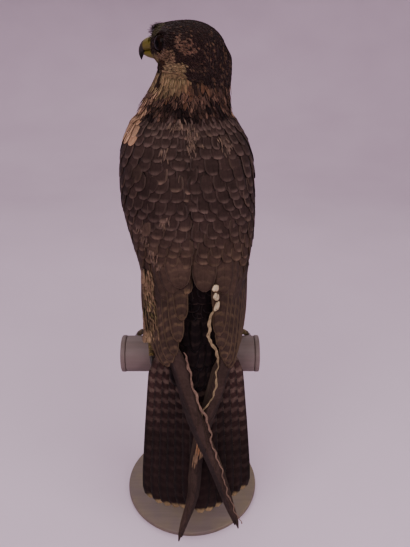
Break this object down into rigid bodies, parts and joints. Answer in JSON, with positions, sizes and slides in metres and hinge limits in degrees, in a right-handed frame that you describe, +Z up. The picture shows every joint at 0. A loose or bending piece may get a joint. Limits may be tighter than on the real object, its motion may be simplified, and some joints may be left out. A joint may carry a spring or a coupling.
{
  "type": "peregrine falcon, mounted specimen on a T-perch",
  "caption": "Life-size mounted peregrine falcon, wings folded and tips crossed over the tail, head turned to its left, on a painted T-perch.",
  "frame": {"origin": "centre of the round base's underside, on the surface the mount stands on", "axes": "+Z up, +X to the bird's left along the crossbar, -Y the way its breast faces"},
  "size_m": [0.133, 0.1652, 0.444],
  "materials": {
    "dark_plumage": "matt barred feathers",
    "pale_plumage": "matt buff feathers with dark bars",
    "bill_horn": "satin horn with a yellow cere",
    "claw_horn": "satin black horn",
    "foot_skin": "scaly dull yellow skin",
    "glass_eye": "polished very dark brown glass",
    "perch_paint": "flat grey paint on turned wood"
  },
  "bodies": {
    "root": {"base_disc": "perch_paint", "claw_hind_left": "claw_horn", "claw_hind_right": "claw_horn", "claw_inner_left": "claw_horn", "claw_inner_right": "claw_horn", "claw_middle_left": "claw_horn", "claw_middle_right": "claw_horn", "claw_outer_left": "claw_horn", "claw_outer_right": "claw_horn", "eye_left": "glass_eye", "eye_right": "glass_eye", "foot_left": "foot_skin", "foot_right": "foot_skin", "head": "dark_plumage", "lower_bill": "bill_horn", "neck": "dark_plumage", "perch_bar": "perch_paint", "perch_cap_left": "perch_paint", "perch_cap_right": "perch_paint", "perch_post": "perch_paint", "tail": "dark_plumage", "tarsus_left": "foot_skin", "tarsus_right": "foot_skin", "thigh_left": "pale_plumage", "thigh_right": "pale_plumage", "torso": "pale_plumage", "upper_bill": "bill_horn", "wing_left": "dark_plumage", "wing_right": "dark_plumage"}
  },
  "joints": []
}
